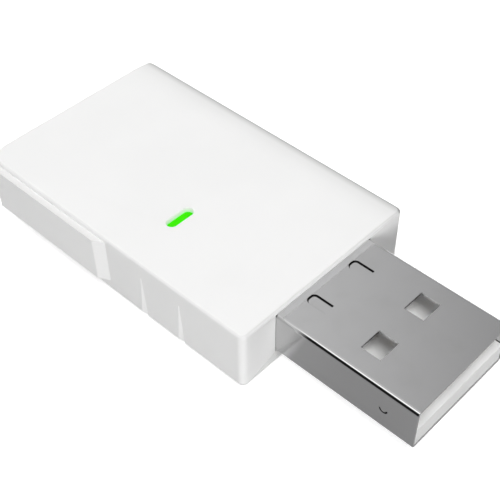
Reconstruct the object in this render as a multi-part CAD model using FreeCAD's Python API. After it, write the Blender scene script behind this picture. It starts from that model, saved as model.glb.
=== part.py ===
"""A USB radio gateway: a white two-piece case on a Type-A plug, with its circuit board inside.

Millimetres. +X runs from the case to the plug's tip, +Y across, +Z up. The origin is on the plug's
centre line, in the plane of the case's front face.
"""
import FreeCAD
import Part

import math
import os

Vec = FreeCAD.Vector

# Case, outside
case_length = 32.4
case_width = 20.3
case_rise = 3.1             # top face above the plug's centre line
case_drop = 3.3             # bottom face below it
corner_radius = 0.62        # upright corners
grip_corner_radius = 2.1    # the upright back corner beside the grip pad
top_edge_radius = 0.3
bottom_edge_radius = 0.5
crown_run = 2.9             # width of the soft fall along the far top edge
crown_fall = 0.2

# Case, inside
side_wall = 1.2
roof_wall = 0.8
rim_wall = 0.7              # wall left beside the bottom cover
cover_thickness = 0.9
cover_gap = 0.06            # seam between the cover and the case
inner_corner_radius = 0.5
pocket_gap = 0.08           # room around each snap nib

# Grip pad on the near side wall
pad_front = -16.1           # where its front bevel meets the wall
pad_back_inset = 1.45       # from the case's back to the end of its flat face
pad_back_turn = 37          # degrees around the back corner to where it ends
pad_proud = 0.6
pad_bevel_run = 1.05
pad_top = 2.69
pad_height = 4.62
pad_edge_radius = 0.3

# Tapered grooves in the near side wall
groove_count = 2
groove_pitch = 4.55
groove_first = -7.2         # the groove next to the plug
groove_top = 1.5
groove_top_width = 0.1
groove_foot_width = 0.85
groove_depth = 0.3

# Plug: the shell is a Type-A plug's, 12.0 by 4.5
shell_width = 12.0
shell_height = 4.5
shell_sheet = 0.2
shell_corner_radius = 0.36
shell_reach = 13.9          # in front of the case
shell_tail = 4.9            # inside the case
shell_seam = 0.05
opening_gap = 0.03          # case opening around the shell
funnel_depth = 0.27         # the front wall slopes back this far to the opening
funnel_share = (0.79, 0.68)     # of the wall beside and above the opening that slopes
window_length = 1.95
window_width = 2.3
window_from_tip = 6.2       # to the window's centre
window_offset = 2.75        # from the centre line
finger_width = 0.9
finger_length = 2.0
finger_offset = 2.62
finger_back = 0.45          # its free end, in front of the case
finger_sink = 0.16
finger_slit = 0.12
finger_radius = 0.3
catch_from_tip = 3.05       # half-moon slits in the shell's sides
catch_radius = 0.42
catch_slit = 0.15
catch_z = 0.06
leg_length = 3.0
leg_height = 2.2

# Plug: insulator and contacts
insulator_gap = 0.04        # to the shell's inside
tongue_top = -0.16
tongue_recess = 0.05        # behind the shell's tip
hood_from_tip = 5.6         # the step up to the part that covers the contacts
hood_skin = 0.15            # above the contacts
block_front_from_tip = 9.5
contact_sheet = 0.25
contact_proud = 0.08
contact_width = 1.0
tail_width = 0.7
contact_tail = 2.3          # behind the shell
power_offset = 3.5
data_offset = 1.0
power_from_tip = 1.3
data_from_tip = 2.3

# Circuit board
board_thickness = 1.0
board_gap_front = 0.15      # to the shell's tail end
board_gap_back = 0.3        # to the case's inside
board_gap_side = 0.9        # to the case's inside, past the snap tabs
neck_gap = 0.05             # between the board's neck and the shell's legs
peg_radius = 0.5
peg_hole_gap = 0.1
post_radius = 1.0
peg_rise = 0.8              # above the board
peg_inset_x = 1.9           # from the board's back edge
peg_front_share = 0.207      # of the board's length, from its front edge
peg_inset_y = 1.4           # from the board's long edges

# Snap tabs on the cover
tab_width = 3.0
tab_thickness = 0.6
tab_height = 2.0
nib_height = 0.6
nib_reach = 0.28
tab_inset_back = 6.9        # from the case's back
tab_inset_front = 7.5       # from its front face

# Light guide and lamp
slot_share = (0.4136, -0.3842)      # of the case's length and half width
slot_width = 1.1
slot_length = 2.95
guide_gap = 0.03
guide_recess = 0.5
flange_thickness = 0.45
flange_margin = 0.5
lamp_size = (0.8, 1.6, 0.6)
lamp_gap = 0.25

# Board components: sizes are length, width and height. A share is of the board's length, from its front
# edge, and of its half width. An offset is from the centre of the shield can.
shield_share = (0.59, 0.037)
shield_size = (9.6, 11.4, 1.7)
shield_sheet = 0.15
radio_offset = (-0.9, 1.1)
radio_size = (5.0, 5.0, 0.85)
flash_offset = (2.3, -3.5)
flash_size = (2.0, 3.0, 0.55)
crystal_offset = (3.2, 2.5)
crystal_size = (1.6, 2.0, 0.5)
regulator_share = (0.168, 0.447)
protector_share = (0.176, 0.0)
small_outline_size = (1.6, 2.9, 1.1)
small_outline_lead = (0.6, 0.4, 0.2)
small_outline_pitch = 0.95
inductor_share = (0.323, 0.397)
inductor_size = (2.0, 2.5, 1.0)
chip_size = (0.5, 1.0, 0.35)
radio_capacitor_offsets = ((-3.9, -3.3), (-3.9, -1.9), (-1.3, -4.5), (0.4, -2.9), (3.8, -0.1))
power_capacitor_shares = ((0.2534, 0.671), (0.2456, 0.199), (0.2456, 0.025))
resistor_gap = 1.1          # beside the lamp
antenna_line = 0.5
antenna_copper = 0.035
antenna_turns = 5
antenna_pitch = 1.25
antenna_rise = 3.0
antenna_back_gap = 0.6      # to the board's back edge
antenna_feed_gap = 0.15     # to the shield can

# Worked out from the values above
half_width = case_width / 2
inside_half = half_width - side_wall
inside_back = -case_length + side_wall
roof = case_rise - roof_wall
cover_top = -case_drop + cover_thickness
shell_half = shell_width / 2
shell_rise = shell_height / 2
bore_half = shell_half - shell_sheet
bore_rise = shell_rise - shell_sheet
contact_top = tongue_top + contact_proud
board_top = contact_top - contact_sheet
board_bottom = board_top - board_thickness
board_front = -shell_tail - board_gap_front
board_back = inside_back + board_gap_back
board_half = inside_half - board_gap_side
leg_back = -shell_tail - leg_length
board_length = board_front - board_back
slot_x = -slot_share[0] * case_length
slot_y = slot_share[1] * half_width
tab_places = (-case_length + tab_inset_back, -tab_inset_front)
pegs = [(x, side * (board_half - peg_inset_y))
        for x in (board_back + peg_inset_x, board_front - peg_front_share * board_length)
        for side in (-1, 1)]


def on_board(share):
    """The place on the board at these shares of its length and half width."""
    return board_front - share[0] * board_length, share[1] * board_half


def in_can(offset):
    """The place at this offset from the shield can's centre."""
    centre = on_board(shield_share)
    return centre[0] + offset[0], centre[1] + offset[1]


def block(x0, x1, y0, y1, z0, z1):
    """A box between two corners."""
    return Part.makeBox(x1 - x0, y1 - y0, z1 - z0, Vec(x0, y0, z0))


def centred(place, size, z):
    """A box of this size, centred on a place, standing on height z."""
    return block(place[0] - size[0] / 2, place[0] + size[0] / 2,
                 place[1] - size[1] / 2, place[1] + size[1] / 2, z, z + size[2])


def peg(place, radius, z0, z1):
    """An upright cylinder."""
    return Part.makeCylinder(radius, z1 - z0, Vec(place[0], place[1], z0))


def upright_edges(solid, where):
    """The solid's upright straight edges at the places that the test picks."""
    found = []
    for edge in solid.Edges:
        a, b = edge.Vertexes[0].Point, edge.Vertexes[-1].Point
        if abs(a.x - b.x) < 1e-6 and abs(a.y - b.y) < 1e-6 and abs(a.z - b.z) > 1e-6 and where(a):
            found.append(edge)
    return found


def level_edges(solid, z_low, z_high):
    """The solid's edges that lie wholly between two heights."""
    return [e for e in solid.Edges if e.BoundBox.ZMin > z_low and e.BoundBox.ZMax < z_high]


def rounded_block(margin, z0, z1):
    """The case's outline, moved in by a margin, as a solid between two heights."""
    x0, x1, y = -case_length + margin, -margin, half_width - margin
    solid = block(x0, x1, -y, y, z0, z1)
    grip = max(grip_corner_radius - margin, inner_corner_radius)
    plain = max(corner_radius - margin, inner_corner_radius)
    solid = solid.makeFillet(grip, upright_edges(solid, lambda p: p.x < x0 + 1e-6 and p.y < 0))
    return solid.makeFillet(plain, upright_edges(
        solid, lambda p: (p.x > x1 - 1e-6 or p.x < x0 + 1e-6) and abs(abs(p.y) - y) < 1e-6
        and not (p.x < x0 + 1e-6 and p.y < 0)))


def crown_cutter():
    """What the soft fall along the far top edge takes away: the space above an arc tangent to the roof."""
    radius = (crown_run ** 2 + crown_fall ** 2) / (2 * crown_fall)
    y0 = half_width - crown_run
    slope = math.asin(crown_run / radius)
    start = Vec(-case_length - 1, y0, case_rise)
    middle = Vec(start.x, y0 + radius * math.sin(slope / 2), case_rise - radius * (1 - math.cos(slope / 2)))
    end = Vec(start.x, half_width, case_rise - crown_fall)
    past = Vec(start.x, half_width + 1, end.z - math.tan(slope))
    above = Vec(start.x, half_width + 1, case_rise + 1)
    back = Vec(start.x, y0, case_rise + 1)
    edges = [Part.Arc(start, middle, end).toShape()]
    for a, b in ((end, past), (past, above), (above, back), (back, start)):
        edges.append(Part.LineSegment(a, b).toShape())
    return Part.Face(Part.Wire(edges)).extrude(Vec(case_length + 2, 0, 0))


def case_outside():
    """The case as one solid lump, with its rounded edges."""
    lump = rounded_block(0, -case_drop, case_rise).cut(crown_cutter())
    lump = lump.makeFillet(top_edge_radius, level_edges(lump, case_rise - crown_fall - 0.01, case_rise + 0.01))
    return lump.makeFillet(bottom_edge_radius, level_edges(lump, -case_drop - 0.01, -case_drop + 0.01))


def grip_pad():
    """The raised pad on the near wall: a flat-faced bar that bevels down to the wall and the back corner."""
    wall, face = -half_width, -half_width - pad_proud
    face_front = pad_front - pad_bevel_run
    turn = math.radians(pad_back_turn)
    end_x = -case_length + grip_corner_radius * (1 - math.cos(turn))
    end_y = wall + grip_corner_radius * (1 - math.sin(turn))
    points = [Vec(pad_front, wall, 0), Vec(face_front, face, 0), Vec(-case_length + pad_back_inset, face, 0),
              Vec(end_x, end_y, 0), Vec(pad_front, end_y, 0)]
    outline = Part.Face(Part.makePolygon(points + points[:1]))
    bar = outline.extrude(Vec(0, 0, pad_height))
    bar.translate(Vec(0, 0, pad_top - pad_height))
    return bar.makeFillet(pad_edge_radius, upright_edges(bar, lambda p: abs(p.y - face) < 1e-6))


def groove(x):
    """A V groove in the near wall that widens and deepens towards the bottom face."""
    def vee(z, width, depth):
        y = -half_width - 0.01
        corners = [Vec(x - width / 2, y, z), Vec(x + width / 2, y, z), Vec(x, -half_width + depth, z)]
        return Part.makePolygon(corners + corners[:1])
    foot = -case_drop - 0.01
    return Part.makeLoft([vee(groove_top, groove_top_width, groove_depth * groove_top_width / groove_foot_width),
                          vee(foot, groove_foot_width, groove_depth)], True)


def shell_opening():
    """The space in the case's front wall that the shell passes through, and the shallow funnel around it."""
    y, z = shell_half + opening_gap, shell_rise + opening_gap
    mouth_y = y + funnel_share[0] * (half_width - y)
    mouth_z = z + funnel_share[1] * (case_rise - z)

    def frame(x, half, rise):
        corners = [Vec(x, -half, -rise), Vec(x, half, -rise), Vec(x, half, rise), Vec(x, -half, rise)]
        return Part.makePolygon(corners + corners[:1])

    hole = block(-side_wall - 0.01, 0.01, -y, y, -case_drop - 1, z)
    return hole, Part.makeLoft([frame(-funnel_depth, y, z), frame(0, mouth_y, mouth_z)], True)


def stadium(x, y, width, length, z0, z1):
    """An upright prism with a slot's outline, long way across the case."""
    reach = (length - width) / 2
    solid = block(x - width / 2, x + width / 2, y - reach, y + reach, z0, z1)
    for side in (-1, 1):
        solid = solid.fuse(peg((x, y + side * reach), width / 2, z0, z1))
    return solid.removeSplitter()


def snap_tab(x, side, gap):
    """A snap tab and its nib against one side wall, grown by a gap for the pocket that it enters."""
    wall = inside_half - cover_gap
    foot = cover_top - cover_thickness / 2
    top = cover_top + tab_height
    y0, y1 = sorted((side * (wall - tab_thickness), side * wall))
    tab = block(x - tab_width / 2, x + tab_width / 2, y0, y1, foot, top)
    nib_x = tab_width / 2 - 0.3 + gap
    y0, y1 = sorted((side * (wall - tab_thickness / 2), side * (wall + nib_reach + gap)))
    nib = block(x - nib_x, x + nib_x, y0, y1, top - nib_height - gap, top + gap)
    return tab, nib


def upper_case():
    """The top and all four side walls, open below, with posts that hold the board down."""
    shell = case_outside().fuse(grip_pad())
    for n in range(groove_count):
        shell = shell.cut(groove(groove_first - n * groove_pitch))
    cavity = rounded_block(side_wall, -case_drop - 1, roof)
    rebate = rounded_block(rim_wall, -case_drop - 1, cover_top)
    hole, funnel = shell_opening()
    shell = shell.cut(cavity).cut(rebate).cut(hole).cut(funnel)
    shell = shell.cut(stadium(slot_x, slot_y, slot_width, slot_length, roof - 1, case_rise + 1))
    for x in tab_places:
        for side in (-1, 1):
            shell = shell.cut(snap_tab(x, side, pocket_gap)[1])
    for place in pegs:
        post = peg(place, post_radius, board_top, roof + roof_wall / 2)
        bore = peg(place, peg_radius + peg_hole_gap, board_top - 1, board_top + peg_rise + 0.3)
        shell = shell.fuse(post).cut(bore)
    return shell.removeSplitter()


def bottom_cover():
    """The plate that closes the case, with the sill under the plug, snap tabs and board pegs."""
    plate = rounded_block(rim_wall + cover_gap, -case_drop, cover_top)
    sill_half = shell_half + opening_gap - cover_gap
    sill_top = -shell_rise - opening_gap
    sill = block(-side_wall, 0, -sill_half, sill_half, -case_drop, sill_top)
    front_foot = [e for e in sill.Edges if abs(e.BoundBox.XMin) < 1e-6 and abs(e.BoundBox.XMax) < 1e-6
                  and abs(e.BoundBox.ZMax + case_drop) < 1e-6]
    sill = sill.makeFillet(min(bottom_edge_radius, 0.8 * (sill_top + case_drop)), front_foot)
    cover = plate.fuse(sill.cut(shell_opening()[1]))
    for x in tab_places:
        for side in (-1, 1):
            tab, nib = snap_tab(x, side, 0)
            cover = cover.fuse(tab).fuse(nib)
    for place in pegs:
        cover = cover.fuse(peg(place, post_radius, cover_top - cover_thickness / 2, board_bottom))
        cover = cover.fuse(peg(place, peg_radius, board_bottom - 0.1, board_top + peg_rise))
    return cover.removeSplitter()


def finger_cuts(side):
    """One spring finger in the shell's top: its slit, the sheet it sinks out of, and the sunk sheet."""
    y = side * finger_offset
    x0, x1 = finger_back, finger_back + finger_length
    half = finger_width / 2
    top, low = shell_rise, bore_rise - finger_sink
    def pad(grow, z0, z1):
        solid = block(x0 - grow, x1, y - half - grow, y + half + grow, z0, z1)
        return solid.makeFillet(finger_radius + grow, upright_edges(solid, lambda p: p.x < x0 + 1e-6))
    slit = pad(finger_slit, low - 1, top + 1)
    sunk = pad(0, low, top - finger_sink)
    return slit, sunk


def catch_cut(side):
    """The half-moon slit around one side's catch."""
    at = Vec(shell_reach - catch_from_tip, side * shell_half - shell_sheet, catch_z)
    turn = Vec(0, 1, 0)
    ring = Part.makeCylinder(catch_radius, 2 * shell_sheet, at, turn)
    ring = ring.cut(Part.makeCylinder(catch_radius - catch_slit, 2 * shell_sheet, at, turn))
    above = block(at.x - 1, at.x + 1, at.y - 1, at.y + 1, catch_z, catch_z + 1)
    return ring.cut(above)


def plug_shell():
    """The folded sheet-metal shell: windows, spring fingers, side catches, solder legs and a seam below."""
    x0, x1 = -shell_tail, shell_reach
    outer = block(x0, x1, -shell_half, shell_half, -shell_rise, shell_rise)
    long_edges = [e for e in outer.Edges if abs(e.Vertexes[0].X - e.Vertexes[-1].X) > 1]
    outer = outer.makeFillet(shell_corner_radius, long_edges)
    inner = block(x0 - 1, x1 + 1, -bore_half, bore_half, -bore_rise, bore_rise)
    long_edges = [e for e in inner.Edges if abs(e.Vertexes[0].X - e.Vertexes[-1].X) > 1]
    inner = inner.makeFillet(max(shell_corner_radius - shell_sheet, 0.05), long_edges)
    shell = outer.cut(inner)
    for side in (-1, 1):
        place = (shell_reach - window_from_tip, side * window_offset)
        shell = shell.cut(centred(place, (window_length, window_width, shell_height + 2), -shell_rise - 1))
        slit, sunk = finger_cuts(side)
        shell = shell.cut(slit).fuse(sunk)
        shell = shell.cut(catch_cut(side))
        y0, y1 = sorted((side * bore_half, side * shell_half))
        leg = block(leg_back, x0 + 0.1, y0, y1, board_bottom - leg_height / 4, board_bottom + 3 * leg_height / 4)
        shell = shell.fuse(leg)
    seam = block(x0 - 1, x1 + 1, -shell_seam / 2, shell_seam / 2, -shell_rise - 1, -bore_rise + 0.1)
    return shell.cut(seam).removeSplitter()


def contact(y, from_tip):
    """One contact: a blade along the tongue that runs straight back to a narrower tail on the board."""
    front = shell_reach - from_tip
    blade = block(-shell_tail, front, y - contact_width / 2, y + contact_width / 2, board_top, contact_top)
    nose = [e for e in blade.Edges if abs(e.BoundBox.XMin - front) < 1e-6 and abs(e.BoundBox.XMax - front) < 1e-6
            and e.BoundBox.ZMin > contact_top - 1e-6]
    blade = blade.makeChamfer(contact_sheet * 0.6, nose)
    tail = block(-shell_tail - contact_tail, -shell_tail + 0.1, y - tail_width / 2, y + tail_width / 2,
                 board_top, contact_top)
    return blade.fuse(tail).removeSplitter()


def contacts():
    """The four contacts by name."""
    return {"contact_power": contact(power_offset, power_from_tip),
            "contact_data_minus": contact(data_offset, data_from_tip),
            "contact_data_plus": contact(-data_offset, data_from_tip),
            "contact_ground": contact(-power_offset, power_from_tip)}


def plug_insulator():
    """The moulded tongue and the block behind it, with a channel for each contact."""
    y, z = bore_half - insulator_gap, bore_rise - insulator_gap
    tongue = block(-shell_tail, shell_reach - tongue_recess, -y, y, -z, tongue_top)
    base = block(-shell_tail, shell_reach - block_front_from_tip, -y, y, -z, z)
    hood = block(-shell_tail, shell_reach - hood_from_tip, -y, y, -z, contact_top + hood_skin)
    body = tongue.fuse(base).fuse(hood).removeSplitter()
    long_edges = [e for e in body.Edges if abs(e.Vertexes[0].X - e.Vertexes[-1].X) > 1
                  and abs(abs(e.BoundBox.YMax) - y) < 1e-6 and abs(abs(e.BoundBox.ZMax) - z) < 0.01]
    body = body.makeFillet(shell_corner_radius / 2, long_edges)
    for solid in contacts().values():
        body = body.cut(solid)
    for side in (-1, 1):
        x0, x1 = finger_back - finger_slit, finger_back + finger_length + 0.3
        y0 = side * finger_offset - finger_width / 2 - 0.1
        y1 = side * finger_offset + finger_width / 2 + 0.1
        body = body.cut(block(x0, x1, y0, y1, bore_rise - finger_sink - 0.1, bore_rise + 1))
    return body.removeSplitter()


def light_guide():
    """The clear guide: its head fills the slot below the case's top, its flange is fixed under the roof."""
    width, length = slot_width - 2 * guide_gap, slot_length - 2 * guide_gap
    foot = board_top + lamp_size[2] + lamp_gap
    head = stadium(slot_x, slot_y, width, length, foot, case_rise - guide_recess)
    flange = stadium(slot_x, slot_y, slot_width + 2 * flange_margin, slot_length + 2 * flange_margin,
                     roof - flange_thickness, roof)
    return head.fuse(flange).removeSplitter()


def circuit_board():
    """The board: a neck between the shell's legs, and holes over the cover's pegs."""
    neck_half = bore_half - neck_gap
    shoulder = leg_back - board_gap_front
    board = block(board_back, shoulder, -board_half, board_half, board_bottom, board_top)
    board = board.makeFillet(inner_corner_radius, upright_edges(board, lambda p: True))
    board = board.fuse(block(shoulder - 1, board_front, -neck_half, neck_half, board_bottom, board_top))
    for place in pegs:
        board = board.cut(peg(place, peg_radius + peg_hole_gap, board_bottom - 1, board_top + 1))
    return board.removeSplitter()


def shield_can():
    """The folded metal can over the radio, open below."""
    place = on_board(shield_share)
    can = centred(place, shield_size, board_top)
    top_edges = [e for e in can.Edges if e.BoundBox.ZMin > board_top + shield_size[2] - 1e-6]
    can = can.makeFillet(0.2, top_edges)
    inner = (shield_size[0] - 2 * shield_sheet, shield_size[1] - 2 * shield_sheet, shield_size[2] - shield_sheet)
    return can.cut(centred(place, inner, board_top))


def small_outline(place):
    """A small moulded package with three leads a side."""
    body_z = board_top + 0.1
    body = centred(place, (small_outline_size[0], small_outline_size[1], small_outline_size[2] - 0.1), body_z)
    top_edges = [e for e in body.Edges if e.BoundBox.ZMin > board_top + small_outline_size[2] - 1e-6]
    body = body.makeChamfer(0.12, top_edges)
    for side in (-1, 1):
        for n in (-1, 0, 1):
            at = (place[0] + side * (small_outline_size[0] / 2 + small_outline_lead[0] / 2 - 0.05),
                  place[1] + n * small_outline_pitch)
            body = body.fuse(centred(at, small_outline_lead, board_top))
    return body.removeSplitter()


def moulded_chip(place, size):
    """A flat moulded package with its pin-one corner cut."""
    chip = centred(place, size, board_top)
    x0, y0 = place[0] - size[0] / 2, place[1] - size[1] / 2
    return chip.makeChamfer(0.25, upright_edges(chip, lambda p: abs(p.x - x0) < 1e-6 and abs(p.y - y0) < 1e-6))


def rounded_chip(place, size, radius):
    """A component with its four upright edges rounded."""
    solid = centred(place, size, board_top)
    return solid.makeFillet(radius, upright_edges(solid, lambda p: True))


def lamp():
    """The status lamp: a base with a smaller clear dome block on it."""
    base_height = lamp_size[2] / 3
    base = centred((slot_x, slot_y), (lamp_size[0], lamp_size[1], base_height), board_top)
    dome = centred((slot_x, slot_y), (lamp_size[0], lamp_size[1] * 0.65, lamp_size[2] - base_height),
                   board_top + base_height)
    return base.fuse(dome).removeSplitter()


def antenna():
    """The printed antenna: a square meander of copper along the board's back edge, and its feed."""
    z0, z1 = board_top, board_top + antenna_copper
    x0 = board_back + antenna_back_gap
    x1 = x0 + antenna_rise
    span = antenna_turns * antenna_pitch
    can_x, can_y = on_board(shield_share)
    y = can_y - span / 2
    strip = block(x0, x1, y, y + antenna_line, z0, z1)
    for n in range(antenna_turns):
        low, high = y + n * antenna_pitch, y + (n + 1) * antenna_pitch
        joint = x0 if n % 2 else x1 - antenna_line
        strip = strip.fuse(block(joint, joint + antenna_line, low, high + antenna_line, z0, z1))
        strip = strip.fuse(block(x0, x1, high, high + antenna_line, z0, z1))
    feed_end = can_x - shield_size[0] / 2 - antenna_feed_gap
    strip = strip.fuse(block(x1 - antenna_line, feed_end, y, y + antenna_line, z0, z1))
    return strip.removeSplitter()


def nodes():
    """Every piece by its node name."""
    pieces = {"upper_case": upper_case(), "bottom_cover": bottom_cover(), "light_guide": light_guide(),
              "plug_shell": plug_shell(), "plug_insulator": plug_insulator()}
    pieces.update(contacts())
    pieces["circuit_board"] = circuit_board()
    pieces["shield_can"] = shield_can()
    pieces["radio_chip"] = moulded_chip(in_can(radio_offset), radio_size)
    pieces["flash_memory"] = moulded_chip(in_can(flash_offset), flash_size)
    pieces["crystal"] = rounded_chip(in_can(crystal_offset), crystal_size, 0.2)
    pieces["voltage_regulator"] = small_outline(on_board(regulator_share))
    pieces["surge_protector"] = small_outline(on_board(protector_share))
    pieces["power_inductor"] = rounded_chip(on_board(inductor_share), inductor_size, 0.35)
    pieces["status_lamp"] = lamp()
    resistor_y = slot_y + lamp_size[1] / 2 + resistor_gap
    pieces["lamp_resistor"] = centred((slot_x, resistor_y), chip_size, board_top)
    places = [in_can(offset) for offset in radio_capacitor_offsets]
    places += [on_board(share) for share in power_capacitor_shares]
    for n, place in enumerate(places, 1):
        pieces[f"capacitor_{n}"] = centred(place, chip_size, board_top)
    pieces["printed_antenna"] = antenna()
    return pieces


os.makedirs("parts", exist_ok=True)
for name, shape in nodes().items():
    shape.exportStep(f"parts/{name}.step")
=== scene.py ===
"""Dresses a white USB radio gateway on a Type-A plug and sets it in a plain white studio.

Metres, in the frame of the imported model: +X runs to the plug's tip, +Y away from the grip pad, +Z up.
"""

import logging
import math
from dataclasses import dataclass
from enum import Enum
from typing import Callable, Optional

import bmesh
import bpy
from mathutils import Matrix, Vector


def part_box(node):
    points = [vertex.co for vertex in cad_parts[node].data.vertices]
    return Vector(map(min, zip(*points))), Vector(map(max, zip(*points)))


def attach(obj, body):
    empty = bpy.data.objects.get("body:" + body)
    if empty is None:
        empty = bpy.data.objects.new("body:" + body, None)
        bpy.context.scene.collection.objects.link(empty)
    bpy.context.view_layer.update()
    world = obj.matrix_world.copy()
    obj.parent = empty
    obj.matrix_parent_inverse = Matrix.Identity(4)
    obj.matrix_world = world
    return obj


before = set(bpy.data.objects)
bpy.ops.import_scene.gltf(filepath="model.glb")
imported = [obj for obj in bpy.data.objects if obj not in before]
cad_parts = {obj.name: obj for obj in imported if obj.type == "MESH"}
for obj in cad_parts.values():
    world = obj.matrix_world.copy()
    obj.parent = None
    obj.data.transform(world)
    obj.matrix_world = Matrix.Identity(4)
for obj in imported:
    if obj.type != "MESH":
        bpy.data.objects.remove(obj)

LOG = logging.getLogger("gateway")
MM = 0.001
Colour = tuple[float, float, float]
Place = tuple[float, float, float]
Span = tuple[float, float]
Socket = bpy.types.NodeSocket
BLACK = (0.0, 0.0, 0.0, 1.0)
WHITE = (1.0, 1.0, 1.0, 1.0)
CONTACTS = ("contact_power", "contact_data_minus", "contact_data_plus", "contact_ground")


class Ray(Enum):
    """The kinds of ray that see the white background."""

    CAMERA = "Is Camera Ray"
    GLOSSY = "Is Glossy Ray"
    TRANSMISSION = "Is Transmission Ray"


class Grade(Enum):
    """How coarse a moulded or rolled surface is: the size of its grain in metres."""

    SATIN = 0.09 * MM
    ERODED = 0.16 * MM


class Face(Enum):
    """The faces of a moulding that a shade falls on: the axis of their outward normal, and its sign."""

    FRONT = (0, 1.0)
    UP = (2, 1.0)
    DOWN = (2, -1.0)


class Blend(Enum):
    """The ways to mix two colours: one covers the other, or tints it."""

    COVER = "MIX"
    TINT = "MULTIPLY"


class Tilt(Enum):
    """How much of the normal lies along an axis: where a tone starts to show, and where it shows in full."""

    SHADED = (0.15, 0.3)
    LOOKS_UP = (0.2, 0.5)
    DUSTY = (0.3, 0.9)
    FAR_FALL = (0.0, 0.42)
    SIDE = (0.7, 0.95)
    SHEARED_END = (0.8, 0.95)
    SLIT_WALL = (0.6, 0.4)
    BOARD_FACE = (0.4, 0.8)


class Strip(Enum):
    """The strips of a rounded edge, by the same measure: where each starts and where it ends."""

    MOULDED = ((0.1, 0.4), (0.995, 0.9))
    CREST = ((0.3, 0.36), (0.6, 0.54))
    BEND = ((0.54, 0.64), (0.97, 0.92))


def rgba(colour: Colour) -> tuple[float, float, float, float]:
    """Returns the colour with full alpha."""
    return (*colour, 1.0)


def scaled(colour: Colour, factor: float) -> Colour:
    """Returns the colour with each part multiplied, and kept at 1 or less."""
    return tuple(min(1.0, part * factor) for part in colour)


class Graph:
    """A node tree with short calls to add its nodes and join them."""

    def __init__(self, tree: bpy.types.NodeTree) -> None:
        """Wraps a tree.

        Args:
            tree: The tree of a material, a world or a group.
        """
        self.tree = tree

    def add(self, kind: str, settings: Optional[dict[str, object]] = None,
            **inputs: object) -> bpy.types.Node:
        """Adds a node and fills its sockets.

        Args:
            kind: The node's type name, without the words that all shader nodes start with.
            settings: Values of the node's own properties.
            **inputs: A socket's name, with _ for a space, or in_N for its Nth input, and its value or
                another output.

        Returns:
            The new node.
        """
        node = self.tree.nodes.new("ShaderNode" + kind)
        for name, value in (settings or {}).items():
            setattr(node, name, value)
        for name, value in inputs.items():
            key = int(name[3:]) if name.startswith("in_") else name.replace("_", " ")
            if isinstance(value, Socket):
                self.tree.links.new(value, node.inputs[key])
            else:
                node.inputs[key].default_value = value
        return node

    def spot(self) -> Socket:
        """Returns the place on the piece, in the gateway's own frame."""
        return self.add("TexCoord").outputs["Object"]

    def parts(self, vector: Socket) -> list[Socket]:
        """Returns the X, Y and Z parts of a vector."""
        return list(self.add("SeparateXYZ", Vector=vector).outputs)

    def facing(self) -> list[Socket]:
        """Returns the X, Y and Z parts of the outward normal."""
        return self.parts(self.add("NewGeometry").outputs["Normal"])

    def maths(self, operation: str, *values: object) -> Socket:
        """Adds a Math node and returns its output."""
        inputs = {f"in_{n}": value for n, value in enumerate(values)}
        return self.add("Math", {"operation": operation}, **inputs).outputs[0]

    def blend(self, factor: object, low: object, high: object, way: Blend = Blend.COVER) -> Socket:
        """Mixes two colours by a factor.

        Args:
            factor: A number or an output, 0 for the low colour and 1 for the high one.
            low: A colour of four numbers, or an output.
            high: A colour of four numbers, or an output.
            way: Whether the high colour covers the low one or tints it.

        Returns:
            The mixed colour.
        """
        settings = {"data_type": "RGBA", "blend_type": way.value}
        return self.add("Mix", settings, in_0=factor, in_6=low, in_7=high).outputs[2]

    def remap(self, value: object, low: float, high: float, to_low: float,
              to_high: float) -> Socket:
        """Maps a value from one range to another, smoothly and clamped.

        Args:
            value: The output to map.
            low: The value that gives to_low.
            high: The value that gives to_high.
            to_low: The result at low.
            to_high: The result at high.

        Returns:
            The mapped value.
        """
        node = self.add("MapRange", {"interpolation_type": "SMOOTHSTEP"}, in_0=value, in_1=low, in_2=high,
                        in_3=to_low, in_4=to_high)
        return node.outputs[0]

    def step(self, value: object, span: Span) -> Socket:
        """Returns a smooth step from 0 at the span's first value to 1 at its second one.

        Args:
            value: The output to measure.
            span: The two values. The second one may be the lower.

        Returns:
            The mask.
        """
        start, full = span
        if start < full:
            return self.remap(value, start, full, 0.0, 1.0)
        return self.remap(value, full, start, 1.0, 0.0)

    def overlap(self, *masks: object) -> Socket:
        """Multiplies masks.

        Args:
            *masks: Two or more outputs.

        Returns:
            The mask of the place that they share.
        """
        shared, *others = masks
        for mask in others:
            shared = self.maths("MULTIPLY", shared, mask)
        return shared

    def strip(self, value: object, strip: Strip) -> Socket:
        """Returns the mask of a strip of a rounded edge.

        Args:
            value: How much of the normal lies along the axis.
            strip: The strip.

        Returns:
            The mask.
        """
        return self.overlap(*(self.step(value, span) for span in strip.value))

    def group(self, source: bpy.types.NodeTree, **inputs: object) -> bpy.types.Node:
        """Places a shared group, with its own values."""
        return self.add("Group", {"node_tree": source}, **inputs)


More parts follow.
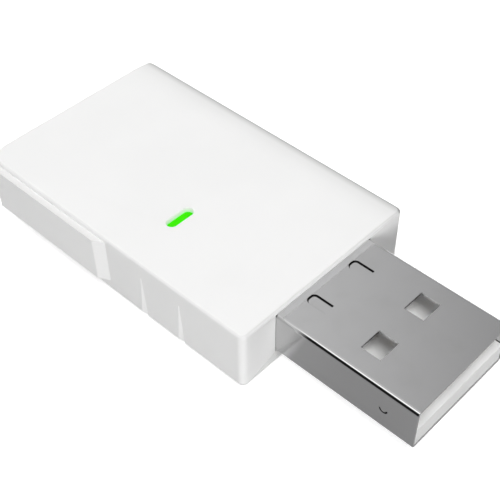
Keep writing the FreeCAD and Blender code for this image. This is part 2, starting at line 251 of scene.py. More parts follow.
class Effects:
    """The shader groups that more than one finish uses, each built the first time it is asked for.

    A rate is in cells to the metre. A span is where a noise starts to show, and where it shows in full.
    """

    DRIFT_SHARE = 0.012
    DRIFT_SPAN = (0.35, 0.65)
    SMUDGE_SPAN = (0.45, 0.75)
    HAIR_SPAN = (0.68, 0.74)
    HAIR_STRETCH = (0.035, 1.0, 1.0)
    HAIR_TURN = (0.0, 0.0, 0.09)
    SPECK_RATE = 2200.0
    SPECK_SPAN = (0.13, 0.04)
    LOT_SPAN = (0.86, 0.9)

    def __init__(self) -> None:
        """Starts with no group built."""
        self.built: dict[str, bpy.types.NodeTree] = {}

    def _group(self, name: str, inputs: tuple[str, ...],
               fill: Callable[[Graph, bpy.types.NodeOutputs], dict[str, Socket]]) -> bpy.types.NodeTree:
        """Builds a group once and returns it after that.

        Args:
            name: The group's name.
            inputs: Each input's name.
            fill: Adds the group's nodes. It takes the inputs, and returns each output's name and source.

        Returns:
            The group.
        """
        if name not in self.built:
            tree = bpy.data.node_groups.new(name, "ShaderNodeTree")
            for label in inputs:
                tree.interface.new_socket(label, in_out="INPUT", socket_type="NodeSocketFloat")
            results = fill(Graph(tree), tree.nodes.new("NodeGroupInput").outputs)
            for label in results:
                tree.interface.new_socket(label, in_out="OUTPUT", socket_type="NodeSocketFloat")
            result = tree.nodes.new("NodeGroupOutput")
            for label, source in results.items():
                tree.links.new(source, result.inputs[label])
            self.built[name] = tree
        return self.built[name]

    def grain(self) -> bpy.types.NodeTree:
        """Returns the fine grain that a spark-eroded mould or a rolling mill leaves."""
        return self._group("Fine grain", ("Cell",), self._grain)

    def handling(self) -> bpy.types.NodeTree:
        """Returns the marks of handling: soft smudges, and hair scratches along X."""
        return self._group("Handling marks", ("Smudge rate", "Hair rate"), self._handling)

    def dust(self) -> bpy.types.NodeTree:
        """Returns a thin scatter of dust on the faces that look up."""
        return self._group("Dust", ("Amount",), self._dust)

    def _grain(self, graph: Graph, given: bpy.types.NodeOutputs) -> dict[str, Socket]:
        """Adds fine pits and a slow drift of tone.

        Args:
            graph: The group's graph.
            given: The group's inputs.

        Returns:
            The height of the pits, and the drift.
        """
        spot = graph.spot()
        rate = graph.maths("DIVIDE", 1.0, given["Cell"])
        pits = graph.add("TexNoise", Vector=spot, Scale=rate, Detail=3.0, Roughness=0.6).outputs[0]
        slow = graph.maths("MULTIPLY", rate, self.DRIFT_SHARE)
        drift = graph.add("TexNoise", Vector=spot, Scale=slow, Detail=2.0).outputs[0]
        return {"Height": pits, "Tone": graph.step(drift, self.DRIFT_SPAN)}

    def _handling(self, graph: Graph, given: bpy.types.NodeOutputs) -> dict[str, Socket]:
        """Adds the smudges and the scratches.

        Args:
            graph: The group's graph.
            given: The group's inputs.

        Returns:
            The mask of the smudges, and that of the scratches.
        """
        spot = graph.spot()
        smudge = graph.add("TexNoise", Vector=spot, Scale=given["Smudge rate"], Detail=4.0, Roughness=0.7,
                           Distortion=0.8).outputs[0]
        along = graph.add("Mapping", Vector=spot, Scale=self.HAIR_STRETCH, Rotation=self.HAIR_TURN)
        hairs = graph.add("TexNoise", Vector=along.outputs[0], Scale=given["Hair rate"],
                          Detail=1.0).outputs[0]
        return {"Smudge": graph.step(smudge, self.SMUDGE_SPAN), "Hair": graph.step(hairs, self.HAIR_SPAN)}

    def _dust(self, graph: Graph, given: bpy.types.NodeOutputs) -> dict[str, Socket]:
        """Adds specks and lets only upward faces keep them.

        Args:
            graph: The group's graph.
            given: The group's inputs.

        Returns:
            The mask of the specks.
        """
        upward = graph.step(graph.facing()[2], Tilt.DUSTY.value)
        specks = graph.add("TexVoronoi", {"feature": "F1"}, Vector=graph.spot(), Scale=self.SPECK_RATE)
        near = graph.step(specks.outputs["Distance"], self.SPECK_SPAN)
        lot = graph.add("SeparateColor", Color=specks.outputs["Color"]).outputs[0]
        return {"Speck": graph.overlap(near, graph.step(lot, self.LOT_SPAN), upward, given["Amount"])}


EFFECTS = Effects()


def blank_material(name: str) -> tuple[bpy.types.Material, Graph]:
    """Makes a material with an empty node tree.

    Args:
        name: The material's name.

    Returns:
        The material and its graph.
    """
    material = bpy.data.materials.new(name)
    material.use_nodes = True
    material.node_tree.nodes.clear()
    return material, Graph(material.node_tree)


def close(graph: Graph, shader: bpy.types.Node) -> None:
    """Joins a shader to the material's output."""
    graph.add("OutputMaterial", Surface=shader.outputs[0])


@dataclass(frozen=True)
class Zone:
    """A box in the gateway's own frame that picks out part of a surface."""

    low: Place
    high: Place

    def inside(self, graph: Graph) -> Socket:
        """Tests whether a place lies in the box.

        Args:
            graph: The material's graph.

        Returns:
            1 in the box and 0 elsewhere.
        """
        sides = []
        for part, low, high in zip(graph.parts(graph.spot()), self.low, self.high):
            sides += [graph.maths("GREATER_THAN", part, low), graph.maths("LESS_THAN", part, high)]
        return graph.overlap(*sides)


@dataclass(frozen=True)
class Spill:
    """The light of a lamp in a slot, painted as a glow on the slot's pale walls, whose colour there is wall,
    a painted shade.
    """

    zone: Zone
    deep: Colour
    shallow: Colour
    wall_shade: Colour

    def light(self, graph: Graph) -> Socket:
        """Paints the lamp's light on the walls, in the deep colour at the bottom and the shallow one at the
        top.

        Args:
            graph: The material's graph.

        Returns:
            The light, which is black outside the zone.
        """
        rise = graph.step(graph.parts(graph.spot())[2], (self.zone.low[2], self.zone.high[2]))
        lit = graph.blend(rise, rgba(self.deep), rgba(self.shallow))
        return graph.blend(self.zone.inside(graph), BLACK, lit)


@dataclass(frozen=True)
class Shade:
    """A place with a painted shade: the faces of one kind in a zone, or all that lies around a zone.

    Its glow is painted light, which a bright neighbour throws on it.
    """

    zone: Zone
    colour: Colour
    face: Optional[Face] = None
    glow: Colour = (0.0, 0.0, 0.0)

    def mask(self, graph: Graph) -> Socket:
        """Finds the shaded place.

        Args:
            graph: The material's graph.

        Returns:
            1 in the place and 0 elsewhere.
        """
        inside = self.zone.inside(graph)
        if self.face is None:
            return graph.maths("SUBTRACT", 1.0, inside)
        axis, sign = self.face.value
        turned = graph.maths("MULTIPLY", graph.facing()[axis], sign)
        return graph.overlap(inside, graph.step(turned, Tilt.SHADED.value))


@dataclass(frozen=True)
class Moulding:
    """A moulded plastic: its colour, its grain and how it has been handled.

    Four shares of the colour give its tones: drift where it is a little off, and three painted shades: edge
    on the rounded edges, far_painted_shade where the top leans away, and brink over the last stretch of the
    top, between the two distances of brink_y. The grain is depth deep and shows with the strength relief. The
    dust's specks have the share speck of the colour, a smudge has the share smudged of the roughness, and a
    scratch is rougher by scored.
    """

    name: str
    colour: Colour
    grade: Grade = Grade.SATIN
    roughness: float = 0.42
    depth: float = 0.0012 * MM
    drift: float = 0.985
    dust: float = 0.25
    scored: float = 0.02
    sheen: float = 0.5
    edge: float = 1.0
    far_painted_shade: float = 1.0
    brink: float = 1.0
    brink_y: Span = (0.0, 1.0)
    speck: float = 0.8
    smudged: float = 0.8
    smudge_rate: float = 220.0
    hair_rate: float = 7000.0
    relief: float = 0.6

    def material(self, spill: Optional[Spill] = None, shades: tuple[Shade, ...] = ()) -> bpy.types.Material:
        """Makes the plastic.

        Args:
            spill: The lamp whose light is painted on this plastic, if any.
            shades: The places with a painted shade or painted light, if any.

        Returns:
            The material.
        """
        material, graph = blank_material(self.name)
        grain = graph.group(EFFECTS.grain(), Cell=self.grade.value)
        marks = graph.group(EFFECTS.handling(), Smudge_rate=self.smudge_rate, Hair_rate=self.hair_rate)
        dust = graph.group(EFFECTS.dust(), Amount=self.dust)
        toned = graph.blend(grain.outputs["Tone"], rgba(self.colour), rgba(scaled(self.colour, self.drift)))
        dusty = graph.blend(dust.outputs["Speck"], toned, rgba(scaled(self.colour, self.speck)))
        rough = graph.remap(marks.outputs["Smudge"], 0.0, 1.0, self.roughness, self.roughness * self.smudged)
        scored = graph.maths("MULTIPLY_ADD", marks.outputs["Hair"], self.scored, rough)
        bump = graph.add("Bump", Height=grain.outputs["Height"], Strength=self.relief, Distance=self.depth)
        # Painted shade on the rounded edges and on the top's far side.
        colour = self._painted_shades(graph, dusty)
        glow: object = BLACK
        if spill:
            # Painted light: the lamp's glow on the slot's walls.
            glow = spill.light(graph)
            # Painted shade: the slot's walls are darker.
            colour = graph.blend(spill.zone.inside(graph), colour, rgba(spill.wall_shade))
        # Painted shade and painted light: each place takes its shade's colour and glow.
        for shade in shades:
            mask = shade.mask(graph)
            colour = graph.blend(mask, colour, rgba(shade.colour))
            glow = graph.blend(mask, glow, rgba(shade.glow))
        shader = graph.add("BsdfPrincipled", Base_Color=colour, Roughness=scored, Normal=bump.outputs[0],
                           Specular_IOR_Level=self.sheen, Emission_Color=glow, Emission_Strength=1.0)
        close(graph, shader)
        return material

    def _painted_shades(self, graph: Graph, flat: Socket) -> Socket:
        """Adds the painted shade of the rounded edges and of the top's far side.

        Args:
            graph: The material's graph.
            flat: The colour of the flat faces.

        Returns:
            The colour of all faces.
        """
        _, aside, up = graph.facing()
        # Painted shade: the rounded edges are darker.
        rounded = graph.strip(graph.maths("ABSOLUTE", up), Strip.MOULDED)
        edge_shaded = graph.blend(rounded, flat, rgba(scaled(self.colour, self.edge)))
        # Painted shade: the top is darker where it leans away towards +Y.
        upward = graph.step(up, Tilt.LOOKS_UP.value)
        leaning = graph.overlap(graph.step(aside, Tilt.FAR_FALL.value), upward)
        far_shaded = graph.blend(leaning, edge_shaded, rgba(scaled(self.colour, self.far_painted_shade)))
        # Painted shade: the last stretch of the top, towards its far edge, is darker.
        last = graph.overlap(graph.step(graph.parts(graph.spot())[1], self.brink_y), upward)
        return graph.blend(last, far_shaded, rgba(3 * (self.brink,)), Blend.TINT)


@dataclass(frozen=True)
class Plating:
    """A bright metal: its colour, and the lines that rolling left along X.

    Four shares of the colour give a folded shell its tones. Three are painted reflections: side, dark, on its
    outer sides, and rim, a bright highlight, and fold, dark, on the strips of its long edges. The fourth,
    sheared, darkens its cut ends, partly as the cut metal and partly as painted shade, and paints shade in
    its catches' slits. The first three come in over the stretch of X called root, and further out the higher
    up, because the shell reflects the case there. The outer sides lie beyond the distance outer from the
    middle, and the slits reach catch_rise up and down.
    """

    name: str
    colour: Colour
    roughness: float = 0.2
    line_rate: float = 5000.0
    line_depth: float = 0.0006 * MM
    worn: Colour = (0.5, 0.5, 0.5)
    side: float = 1.0
    sheared_and_painted_shade: float = 1.0
    fold_painted_reflection: float = 1.0
    rim: float = 1.0
    outer: float = 0.0
    catch_rise: float = 0.0
    root: Span = (0.6 * MM, 2.4 * MM)
    root_slant: float = -0.4
    root_share: float = 0.15
    line_stretch: Place = (0.03, 1.0, 1.0)
    line_relief: float = 0.5
    tarnish: float = 0.5
    tarnish_rate: float = 420.0
    tarnish_span: Span = (0.4, 0.8)
    smudged: float = 0.08
    smudge_rate: float = 350.0
    scored: float = 0.1
    hair_rate: float = 12000.0

    def material(self) -> bpy.types.Material:
        """Makes the metal.

        Returns:
            The material.
        """
        material, graph = blank_material(self.name)
        spot = graph.spot()
        along = graph.add("Mapping", Vector=spot, Scale=self.line_stretch).outputs[0]
        lines = graph.add("TexNoise", Vector=along, Scale=self.line_rate, Detail=3.0).outputs[0]
        marks = graph.group(EFFECTS.handling(), Smudge_rate=self.smudge_rate, Hair_rate=self.hair_rate)
        tarnish = graph.add("TexNoise", Vector=spot, Scale=self.tarnish_rate, Detail=3.0).outputs[0]
        dull = graph.remap(tarnish, *self.tarnish_span, 0.0, self.tarnish)
        # Painted reflections on the shell's outer sides and edge strips, and darker cut ends and slits,
        # partly painted shade.
        tinted = self._painted_reflections_and_cuts(graph, graph.blend(dull, rgba(self.colour), rgba(self.worn)))
        rough = graph.maths("MULTIPLY_ADD", marks.outputs["Smudge"], self.smudged, self.roughness)
        scored = graph.maths("MULTIPLY_ADD", marks.outputs["Hair"], self.scored, rough)
        bump = graph.add("Bump", Height=lines, Strength=self.line_relief, Distance=self.line_depth)
        shader = graph.add("BsdfPrincipled", Base_Color=tinted, Roughness=scored, Normal=bump.outputs[0],
                           Metallic=1.0)
        close(graph, shader)
        return material

    def _painted_reflections_and_cuts(self, graph: Graph, flat: Socket) -> Socket:
        """Adds the painted reflections of the folded edges and the outer sides, and the darker cut ends and
        slits, partly cut metal and partly painted shade.

        Args:
            graph: The material's graph.
            flat: The colour of the flat faces.

        Returns:
            The colour of all faces.
        """
        x, y, z = graph.parts(graph.spot())
        ahead, aside, _ = graph.facing()
        tilt = graph.maths("ABSOLUTE", aside)
        slant = graph.maths("MULTIPLY_ADD", z, self.root_slant, x)
        # The painted reflections are fainter near the case.
        forward = graph.remap(slant, *self.root, self.root_share, 1.0)
        beyond = graph.maths("GREATER_THAN", graph.maths("ABSOLUTE", y), self.outer)
        outward = graph.maths("GREATER_THAN", graph.maths("MULTIPLY", y, aside), 0.0)
        outside = graph.overlap(beyond, outward, forward)
        ends = graph.step(graph.maths("ABSOLUTE", ahead), Tilt.SHEARED_END.value)
        level = graph.maths("LESS_THAN", graph.maths("ABSOLUTE", z), self.catch_rise)
        slit = graph.overlap(level, beyond, graph.step(tilt, Tilt.SLIT_WALL.value))
        # Painted reflections on the outer sides and the edge strips; the cut ends are darker metal with
        # painted shade, and the slits have painted shade.
        tones = (
            (graph.overlap(graph.step(tilt, Tilt.SIDE.value), outside), self.side),
            (graph.overlap(graph.strip(tilt, Strip.CREST), outside), self.rim),
            (graph.overlap(graph.strip(tilt, Strip.BEND), outside), self.fold_painted_reflection),
            (graph.maths("MAXIMUM", ends, slit), self.sheared_and_painted_shade),
        )
        colour = flat
        for mask, share in tones:
            colour = graph.blend(mask, colour, rgba(scaled(self.colour, share)))
        return colour


@dataclass(frozen=True)
class LitResin:
    """A clear resin with a lamp behind it, brightest over the lamp."""

    name: str
    colour: Colour
    glow: Colour
    strength: float
    centre: Place
    reach: float
    far_share: float = 0.88
    cloud_rate: float = 1800.0
    cloud_span: Span = (0.3, 0.7)
    cloud_share: float = 0.93
    tint_share: float = 0.85
    roughness: float = 0.25
    sheen: float = 0.05

    def material(self) -> bpy.types.Material:
        """Makes the lit resin.

        Returns:
            The material.
        """
        material, graph = blank_material(self.name)
        spot = graph.spot()
        away = graph.add("VectorMath", {"operation": "DISTANCE"}, in_0=spot, in_1=self.centre)
        fall = graph.remap(away.outputs["Value"], 0.0, self.reach, 1.0, self.far_share)
        cloud = graph.add("TexNoise", Vector=spot, Scale=self.cloud_rate, Detail=2.0).outputs[0]
        uneven = graph.overlap(fall, graph.remap(cloud, *self.cloud_span, self.cloud_share, 1.0))
        light = graph.blend(uneven, BLACK, rgba(self.glow))
        tint = graph.blend(cloud, rgba(self.colour), rgba(scaled(self.colour, self.tint_share)))
        shader = graph.add("BsdfPrincipled", Base_Color=tint, Roughness=self.roughness,
                           Specular_IOR_Level=self.sheen, Emission_Color=light,
                           Emission_Strength=self.strength)
        close(graph, shader)
        return material


@dataclass(frozen=True)
class Laminate:
    """A circuit board: green solder mask with faint tracks under it, and bare fibre at its edges.

    The tracks are where a wandering wave is high, and relief is how far they and the weave stand out.
    """

    name: str
    mask: Colour
    track: Colour
    fibre: Colour
    track_rate: float = 420.0
    track_span: Span = (0.72, 0.8)
    track_height: float = 0.8
    wander: float = 6.0
    wander_rate: float = 0.6
    weave_rate: float = 5200.0
    weave_height: float = 0.1
    weave_share: float = 0.85
    relief: float = 0.02 * MM
    relief_share: float = 0.6
    edge_roughness: float = 0.75
    mask_roughness: float = 0.3

    def material(self) -> bpy.types.Material:
        """Makes the board.

        Returns:
            The material.
        """
        material, graph = blank_material(self.name)
        spot = graph.spot()
        flat = graph.step(graph.maths("ABSOLUTE", graph.facing()[2]), Tilt.BOARD_FACE.value)
        waves = graph.add("TexWave", {"bands_direction": "DIAGONAL"}, Vector=spot, Scale=self.track_rate,
                          Distortion=self.wander, Detail=0.0, Detail_Scale=self.wander_rate)
        tracks = graph.step(waves.outputs[1], self.track_span)
        weave = graph.add("TexChecker", Vector=spot, Scale=self.weave_rate, Color1=WHITE,
                          Color2=BLACK).outputs[1]
        masked = graph.blend(tracks, rgba(self.mask), rgba(self.track))
        edge = graph.blend(weave, rgba(self.fibre), rgba(scaled(self.fibre, self.weave_share)))
        woven = graph.maths("MULTIPLY", weave, self.weave_height)
        height = graph.maths("MULTIPLY_ADD", tracks, self.track_height, woven)
        bump = graph.add("Bump", Height=height, Strength=self.relief_share, Distance=self.relief)
        rough = graph.remap(flat, 0.0, 1.0, self.edge_roughness, self.mask_roughness)
        shader = graph.add("BsdfPrincipled", Base_Color=graph.blend(flat, edge, masked), Roughness=rough,
                           Normal=bump.outputs[0])
        close(graph, shader)
        return material


@dataclass(frozen=True)
class ChipBody:
    """A two-ended chip component: a fired body between two tinned ends, set along Y."""

    name: str
    body: Colour
    centre_y: float
    half_length: float
    cap: float = 0.22 * MM
    cap_blur: float = 0.02 * MM
    tin: Colour = (0.72, 0.72, 0.7)
    cell: float = 0.06 * MM
    dark_share: float = 0.8
    depth: float = 0.003 * MM
    relief: float = 0.5
    roughness: float = 0.4

    def material(self) -> bpy.types.Material:
        """Makes the component.

        Returns:
            The material.
        """
        material, graph = blank_material(self.name)
        y = graph.parts(graph.spot())[1]
        off = graph.maths("ABSOLUTE", graph.maths("SUBTRACT", y, self.centre_y))
        start = self.half_length - self.cap
        ends = graph.step(off, (start, start + self.cap_blur))
        grain = graph.group(EFFECTS.grain(), Cell=self.cell)
        dark = scaled(self.body, self.dark_share)
        fired = graph.blend(grain.outputs["Height"], rgba(self.body), rgba(dark))
        colour = graph.blend(ends, fired, rgba(self.tin))
        bump = graph.add("Bump", Height=grain.outputs["Height"], Strength=self.relief, Distance=self.depth)
        shader = graph.add("BsdfPrincipled", Base_Color=colour, Roughness=self.roughness, Metallic=ends,
                           Normal=bump.outputs[0])
        close(graph, shader)
        return material


# The case's plastic has painted shade on its rounded edges and on the far side of its top.
CASE_WHITE = Moulding("Top white", (0.905, 0.905, 0.901), roughness=0.5, sheen=0.08, edge=0.86, far_painted_shade=0.5,
                      brink=0.67, brink_y=(9.1 * MM, 10.3 * MM))
COVER_WHITE = Moulding("Cover white", (0.87, 0.87, 0.862), grade=Grade.ERODED, roughness=0.5,
                       depth=0.003 * MM)
TONGUE_WHITE = Moulding("Tongue white", (0.995, 0.995, 0.99), roughness=0.45, dust=0.0)
CHIP_BLACK = Moulding("Chip black", (0.022, 0.022, 0.024), grade=Grade.ERODED, roughness=0.55,
                      depth=0.004 * MM, drift=1.4, dust=0.1)
FERRITE = Moulding("Ferrite grey", (0.09, 0.09, 0.095), grade=Grade.ERODED, roughness=0.6, depth=0.005 * MM,
                   drift=1.2)
# The shell's outer sides and edge strips have painted reflections; its cut ends and slits are darker, partly
# painted shade.
SHELL_NICKEL = Plating("Plug nickel", (0.65, 0.65, 0.655), roughness=0.12, worn=(0.6, 0.6, 0.6), side=0.3,
                       sheared_and_painted_shade=0.13, fold_painted_reflection=0.012, rim=1.54, outer=5.5 * MM, catch_rise=1.5 * MM)
CAN_TIN = Plating("Can tin", (0.66, 0.66, 0.64), roughness=0.3, worn=(0.55, 0.54, 0.5))
CRYSTAL_METAL = Plating("Crystal metal", (0.7, 0.7, 0.69), roughness=0.25)
CONTACT_GOLD = Plating("Contact gold", (0.83, 0.6, 0.24), roughness=0.2, worn=(0.75, 0.55, 0.26))
ANTENNA_COPPER = Plating("Antenna copper", (0.3, 0.36, 0.16), roughness=0.35, worn=(0.24, 0.3, 0.12))
SOLDER = Plating("Solder", (0.7, 0.7, 0.7), roughness=0.28, line_rate=1500.0, worn=(0.6, 0.6, 0.6))
MASK_GREEN = Laminate("Mask green", (0.012, 0.12, 0.045), (0.03, 0.2, 0.07), (0.55, 0.52, 0.32))


def dress(node: str, material: bpy.types.Material) -> None:
    """Gives a kept CAD node its finish.

    Args:
        node: The node's name.
        material: The finish for all its faces.
    """
    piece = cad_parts[node]
    for slot in piece.material_slots:
        slot.material = material
    LOG.info("%s wears %s", node, material.name)


def new_piece(name: str, work: bmesh.types.BMesh, material: bpy.types.Material) -> bpy.types.Object:
    """Turns a finished bmesh into a piece that rides on the gateway.

    Args:
        name: The piece's name.
        work: Its mesh in metres, at its place. It is freed here.
        material: Its finish.

    Returns:
        The new object.
    """
    bmesh.ops.recalc_face_normals(work, faces=work.faces)
    mesh = bpy.data.meshes.new(name)
    work.to_mesh(mesh)
    work.free()
    for polygon in mesh.polygons:
        polygon.use_smooth = True
    mesh.materials.append(material)
    piece = bpy.data.objects.new(name, mesh)
    bpy.context.scene.collection.objects.link(piece)
    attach(piece, "root")
    LOG.info("%s has %d faces", name, len(mesh.polygons))
    return piece


@dataclass
class Case:
    """The two-part case and the light guide in its slot.

    The brow is the slope above the plug, with painted light where the shell throws light on it. The ledge is
    the slope below it, with painted shade. The lamp's light is painted on the slot's walls out to slot_reach
    from the guide's middle, and up to slot_lip below the top, and the walls there take a painted shade. The
    pad's bevel is pad_rise deep in Y, and has a painted shade.
    """

    lamp_glow: Colour = (0.055, 0.76, 0.0)
    lamp_tint: Colour = (0.0, 0.2, 0.0)
    lamp_strength: float = 1.0
    glow_reach: float = 1.6 * MM
    spill_deep: Colour = (0.26, 0.51, 0.24)
    spill_shallow: Colour = (0.5, 0.42, 0.48)
    slot_wall_shade: Colour = (0.4, 0.4, 0.4)
    slot_reach: Span = (0.57 * MM, 1.5 * MM)
    slot_lip: float = 0.04 * MM
    margin: float = 0.01 * MM
    funnel_depth: float = 0.3 * MM
    funnel_shade: Colour = (0.66, 0.66, 0.656)
    brow_glow: Colour = (0.21, 0.21, 0.21)
    pad_rise: float = 0.58 * MM
    pad_bevel_shade: Colour = (0.785, 0.785, 0.78)

    def build(self) -> None:
        """Dresses the case, its cover and the guide."""
        foot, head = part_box("upper_case")
        under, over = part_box("plug_shell")
        low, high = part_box("light_guide")
        middle = (low + high) / 2
        reach = Vector((*self.slot_reach, 0.0))
        slot = Zone((*(middle - reach).xy, high.z), (*(middle + reach).xy, head.z - self.slot_lip))
        # Painted light and painted shade in the slot: the lamp's glow on its walls, and their darker colour.
        spill = Spill(slot, self.spill_deep, self.spill_shallow, self.slot_wall_shade)
        back, front = -self.funnel_depth, self.margin
        ledge = Zone((back, foot.y, foot.z), (front, head.y, under.z))
        brow = Zone((back, foot.y, over.z), (front, head.y, head.z))
        pad = Zone((foot.x, foot.y - self.margin, foot.z), (head.x, foot.y + self.pad_rise, head.z))
        # Painted shade on the ledge below the plug, on the case and on its cover.
        shades = (Shade(ledge, self.funnel_shade, Face.UP),)
        # Painted light on the brow above the plug, and painted shade on the pad's bevel.
        tones = (Shade(brow, CASE_WHITE.colour, Face.DOWN, self.brow_glow),
                 Shade(pad, self.pad_bevel_shade, Face.UP))
        dress("upper_case", CASE_WHITE.material(spill=spill, shades=shades + tones))
        dress("bottom_cover", COVER_WHITE.material(shades=shades))
        guide = LitResin("Lit guide", self.lamp_tint, self.lamp_glow, self.lamp_strength,
                         (middle.x, middle.y, high.z), self.glow_reach)
        dress("light_guide", guide.material())


@dataclass
class Plug:
    """The Type-A plug: shell, tongue and contacts.

    What of the insulator lies further out than open_half, or above open_top, is deep in the shell, and has
    the colour hidden, a painted shade near black. Its front end, over end_depth, has the colour
    tongue_end_shade, a painted shade a little darker than the tongue. The zones end clear of it.
    """

    open_half: float = 5.74 * MM
    open_top: float = 1.6 * MM
    deep_painted_shade: Colour = (0.04, 0.04, 0.04)
    tongue_end_shade: Colour = (0.74, 0.74, 0.735)
    end_depth: float = 0.05 * MM
    clear: float = 1.0 * MM

    def build(self) -> None:
        """Dresses the plug's pieces."""
        dress("plug_shell", SHELL_NICKEL.material())
        low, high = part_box("plug_insulator")
        bottom = low.z - self.clear
        seen = Zone((low.x - self.clear, -self.open_half, bottom),
                    (high.x + self.clear, self.open_half, self.open_top))
        end = Zone((high.x - self.end_depth, low.y, bottom), seen.high)
        # Painted shade: the tongue's front end is darker, and what lies deep in the shell is near black.
        shades = (Shade(end, self.tongue_end_shade, Face.FRONT), Shade(seen, self.deep_painted_shade))
        dress("plug_insulator", TONGUE_WHITE.material(shades=shades))
        gold = CONTACT_GOLD.material()
        for name in CONTACTS:
            dress(name, gold)


@dataclass
class Board:
    """The circuit board and what is soldered to it."""

    tan: Colour = (0.42, 0.3, 0.18)
    dark: Colour = (0.03, 0.03, 0.035)
    lamp_glow: Colour = (0.1, 1.0, 0.2)
    lamp_tint: Colour = (0.6, 0.9, 0.6)
    lamp_strength: float = 1.5
    lamp_reach: float = 1.2 * MM
    capacitors: int = 8
    fillet_length: float = 1.5 * MM
    fillet_rise: float = 0.2 * MM
    fillet_margin: float = 0.1 * MM
    fillet_draw: Span = (0.25, 0.45)
    fillet_round: float = 0.06 * MM

    def build(self) -> None:
        """Dresses the board and its components, and adds the solder on the contacts' tails."""
        dress("circuit_board", MASK_GREEN.material())
        dress("shield_can", CAN_TIN.material())
        dress("crystal", CRYSTAL_METAL.material())
        dress("printed_antenna", ANTENNA_COPPER.material())
        dress("power_inductor", FERRITE.material())
        black = CHIP_BLACK.material()
        for name in ("radio_chip", "flash_memory", "voltage_regulator", "surge_protector"):
            dress(name, black)
        low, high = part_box("status_lamp")
        lamp = LitResin("Lit lamp", self.lamp_tint, self.lamp_glow, self.lamp_strength,
                        tuple((low + high) / 2), self.lamp_reach)
        dress("status_lamp", lamp.material())
        self._chip_component("lamp_resistor", self.dark)
        for n in range(self.capacitors):
            self._chip_component(f"capacitor_{n + 1}", self.tan)
        solder = SOLDER.material()
        for name in CONTACTS:
            self._fillet(name, solder)

    def _chip_component(self, node: str, body: Colour) -> None:
        """Dresses a two-ended chip component.

        Args:
            node: The component's node.
            body: The colour between its ends.
        """
        low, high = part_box(node)
        finish = ChipBody(f"{node} finish", body, (low.y + high.y) / 2, (high.y - low.y) / 2)
        dress(node, finish.material())

    def _fillet(self, node: str, solder: bpy.types.Material) -> None:
        """Adds the solder that wets a contact's tail and the pad under it.

        Args:
            node: The contact's node.
            solder: The solder's finish.
        """
        low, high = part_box(node)
        work = bmesh.new()
        bmesh.ops.create_cube(work, size=1.0)
        size = Vector((self.fillet_length, (high.y - low.y) + self.fillet_margin, self.fillet_rise))
        bmesh.ops.scale(work, vec=size, verts=work.verts)
        centre = Vector((low.x + size.x / 2 - self.fillet_margin, (low.y + high.y) / 2, low.z + size.z / 2))
        bmesh.ops.translate(work, vec=centre, verts=work.verts)
        for corner in (vertex for vertex in work.verts if vertex.co.z > centre.z):
            corner.co.x += (centre.x - corner.co.x) * self.fillet_draw[0]
            corner.co.y += (centre.y - corner.co.y) * self.fillet_draw[1]
        bmesh.ops.bevel(work, geom=work.edges[:], offset=self.fillet_round, offset_type="OFFSET", segments=3,
                        profile=0.5, affect="EDGES", material=-1)
        new_piece(f"solder_{node}", work, solder)


@dataclass(frozen=True)
class Softbox:
    """A square soft light: its direction and elevation in degrees, its side and its power in watts.

    The direction is counted from +X towards +Y.
    """

    name: str
    azimuth: float
    height: float
    size: float
    power: float


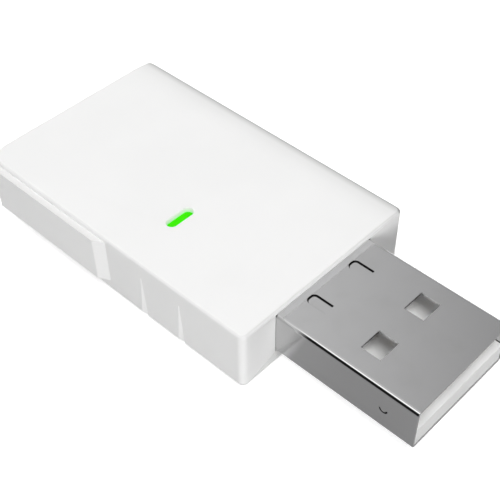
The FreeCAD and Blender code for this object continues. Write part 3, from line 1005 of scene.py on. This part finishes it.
@dataclass
class Studio:
    """The camera, the floor, the lights, and the grey card that the plug's top reflects.

    The camera is turned from -X towards +Y, and dips below the horizontal. Its focal length and its principal
    point are in pixels of a square picture. The card is as bright as flag_level in its middle, gets darker by
    flag_fall to the metre towards the camera's right, and stays within flag_span.
    """

    camera_at: Place = (34.495 * MM, -45.040 * MM, 62.760 * MM)
    camera_turn: float = math.radians(47.08246987)
    camera_dip: float = math.radians(48.29750654)
    camera_roll: float = -0.00023
    sensor: float = 36.0
    nearest: float = 0.005
    focal_px: float = 1002.04
    principal: Span = (261.887, 300.242)
    picture: float = 500.0
    sky: float = 0.02
    floor_white: Colour = (0.8, 0.8, 0.8)
    floor_bounce: Colour = (0.42, 0.42, 0.42)
    floor_lift: float = 0.35
    shadow_lift: float = 0.25
    stage_reach: float = 1.5
    lit_reach: float = 0.12
    flag_distance: float = 0.5
    flag_half: float = 0.45
    flag_level: float = 0.735
    flag_fall: float = 2.3
    flag_span: Span = (0.4, 0.75)
    lamp_distance: float = 0.4
    lamp_aim: Place = (-0.01, 0.0, 0.0)
    lamps: tuple[Softbox, ...] = (
        Softbox("Top light", 0, 89, 0.3, 0.31),
        Softbox("Low light", -42, 11, 0.15, 0.71),
        Softbox("Near light", -80, 30, 0.15, 0.25),
        Softbox("Front light", -10, 65, 0.25, 0.88),
        Softbox("Back light", 180, 20, 0.15, 1.0),
        Softbox("Far light", 105, 15, 0.15, 0.08),
    )

    def build(self) -> None:
        """Sets up the whole studio."""
        self._camera()
        self._floor()
        self._sky()
        self._flag()
        for lamp in self.lamps:
            self._softbox(lamp)
        bpy.context.scene.view_settings.view_transform = "Standard"

    def _sight(self) -> tuple[Vector, Vector]:
        """Works out how the camera looks.

        Returns:
            The direction that it looks in, and the direction to its right.
        """
        turn, dip = self.camera_turn, self.camera_dip
        ahead = Vector((-math.cos(turn) * math.cos(dip), math.sin(turn) * math.cos(dip), -math.sin(dip)))
        return ahead, Vector((math.sin(turn), math.cos(turn), 0.0))

    def _camera(self) -> None:
        """Places the camera where the photograph was taken from."""
        data = bpy.data.cameras.new("Camera")
        data.sensor_width = self.sensor
        data.lens = self.focal_px / self.picture * data.sensor_width
        data.shift_x = (self.picture / 2 - self.principal[0]) / self.picture
        data.shift_y = (self.principal[1] - self.picture / 2) / self.picture
        data.clip_start = self.nearest
        camera = bpy.data.objects.new("Camera", data)
        ahead, right = self._sight()
        up = right.cross(ahead)
        axes = Matrix((right, up, -ahead)).transposed().to_4x4()
        roll = Matrix.Rotation(self.camera_roll, 4, "Z")
        camera.matrix_world = Matrix.Translation(self.camera_at) @ axes @ roll
        bpy.context.scene.collection.objects.link(camera)
        bpy.context.scene.camera = camera

    def _seen(self, graph: Graph) -> Socket:
        """Tells apart the rays that see the white background.

        Args:
            graph: The graph of the material or the world.

        Returns:
            1 for those rays, and 0 for the others.
        """
        path = graph.add("LightPath")
        total: object = 0.0
        for ray in Ray:
            total = graph.maths("MAXIMUM", total, path.outputs[ray.value])
        return total

    def _floor(self) -> None:
        """Lays a pale floor under the case that keeps its shadow."""
        low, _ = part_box("upper_case")
        work = bmesh.new()
        bmesh.ops.create_grid(work, x_segments=1, y_segments=1, size=self.stage_reach)
        bmesh.ops.translate(work, vec=(0.0, 0.0, low.z), verts=work.verts)
        mesh = bpy.data.meshes.new("Floor")
        work.to_mesh(mesh)
        work.free()
        floor = bpy.data.objects.new("Floor", mesh)
        bpy.context.scene.collection.objects.link(floor)
        material, graph = blank_material("Floor white")
        seen = self._seen(graph)
        pale = graph.blend(seen, rgba(self.floor_bounce), rgba(self.floor_white))
        matt = graph.add("BsdfDiffuse", Color=pale)
        direct = graph.add("LightPath").outputs[Ray.CAMERA.value]
        away = graph.add("VectorMath", {"operation": "LENGTH"}, in_0=graph.spot()).outputs[1]
        rim = graph.step(away, (self.lit_reach, 2 * self.lit_reach))
        lifted = graph.maths("MULTIPLY_ADD", direct, self.shadow_lift, self.floor_lift)
        strength = graph.maths("MULTIPLY", seen, graph.maths("ADD", lifted, rim))
        lift = graph.add("Emission", Strength=strength)
        close(graph, graph.add("AddShader", in_0=matt.outputs[0], in_1=lift.outputs[0]))
        mesh.materials.append(material)

    def _sky(self) -> None:
        """Gives the room its even pale light."""
        world = bpy.data.worlds.new("Room")
        world.use_nodes = True
        world.node_tree.nodes.clear()
        graph = Graph(world.node_tree)
        strength = graph.maths("MULTIPLY_ADD", self._seen(graph), 1.0 - self.sky, self.sky)
        room = graph.add("Background", Color=WHITE, Strength=strength)
        graph.add("OutputWorld", Surface=room.outputs[0])
        bpy.context.scene.world = world

    def _flag(self) -> None:
        """Hangs the grey card that the plug's top reflects, and that nothing else sees."""
        ahead, right = self._sight()
        away = Vector((ahead.x, ahead.y, -ahead.z))
        axes = Matrix((right, away.cross(right), away)).transposed().to_4x4()
        work = bmesh.new()
        bmesh.ops.create_grid(work, x_segments=1, y_segments=1, size=self.flag_half)
        mesh = bpy.data.meshes.new("Grey card")
        work.to_mesh(mesh)
        work.free()
        card = bpy.data.objects.new("Grey card", mesh)
        card.matrix_world = Matrix.Translation(away * self.flag_distance) @ axes
        bpy.context.scene.collection.objects.link(card)
        material, graph = blank_material("Card grey")
        across = graph.parts(graph.spot())[0]
        level = graph.maths("MULTIPLY_ADD", across, -self.flag_fall, self.flag_level)
        darkest, palest = self.flag_span
        bounded = graph.maths("MINIMUM", graph.maths("MAXIMUM", level, darkest), palest)
        close(graph, graph.add("Emission", Strength=bounded))
        mesh.materials.append(material)
        for ray in ("camera", "diffuse", "transmission", "volume_scatter", "shadow"):
            setattr(card, f"visible_{ray}", False)

    def _softbox(self, lamp: Softbox) -> None:
        """Hangs a soft light that faces the gateway and shows in no reflection.

        Args:
            lamp: The light.
        """
        turn, lift = math.radians(lamp.azimuth), math.radians(lamp.height)
        way = Vector((math.cos(turn) * math.cos(lift), math.sin(turn) * math.cos(lift), math.sin(lift)))
        place = way * self.lamp_distance
        data = bpy.data.lights.new(lamp.name, "AREA")
        data.shape = "SQUARE"
        data.size = lamp.size
        data.energy = lamp.power
        light = bpy.data.objects.new(lamp.name, data)
        light.location = place
        light.rotation_euler = (Vector(self.lamp_aim) - place).to_track_quat("-Z", "Y").to_euler()
        light.visible_glossy = False
        bpy.context.scene.collection.objects.link(light)


def main() -> None:
    """Dresses the gateway and sets up the studio."""
    logging.basicConfig(level=logging.INFO, format="%(message)s")
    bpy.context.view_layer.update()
    for part in (Case(), Plug(), Board()):
        part.build()
    Studio().build()


if __name__ == "__main__":
    main()
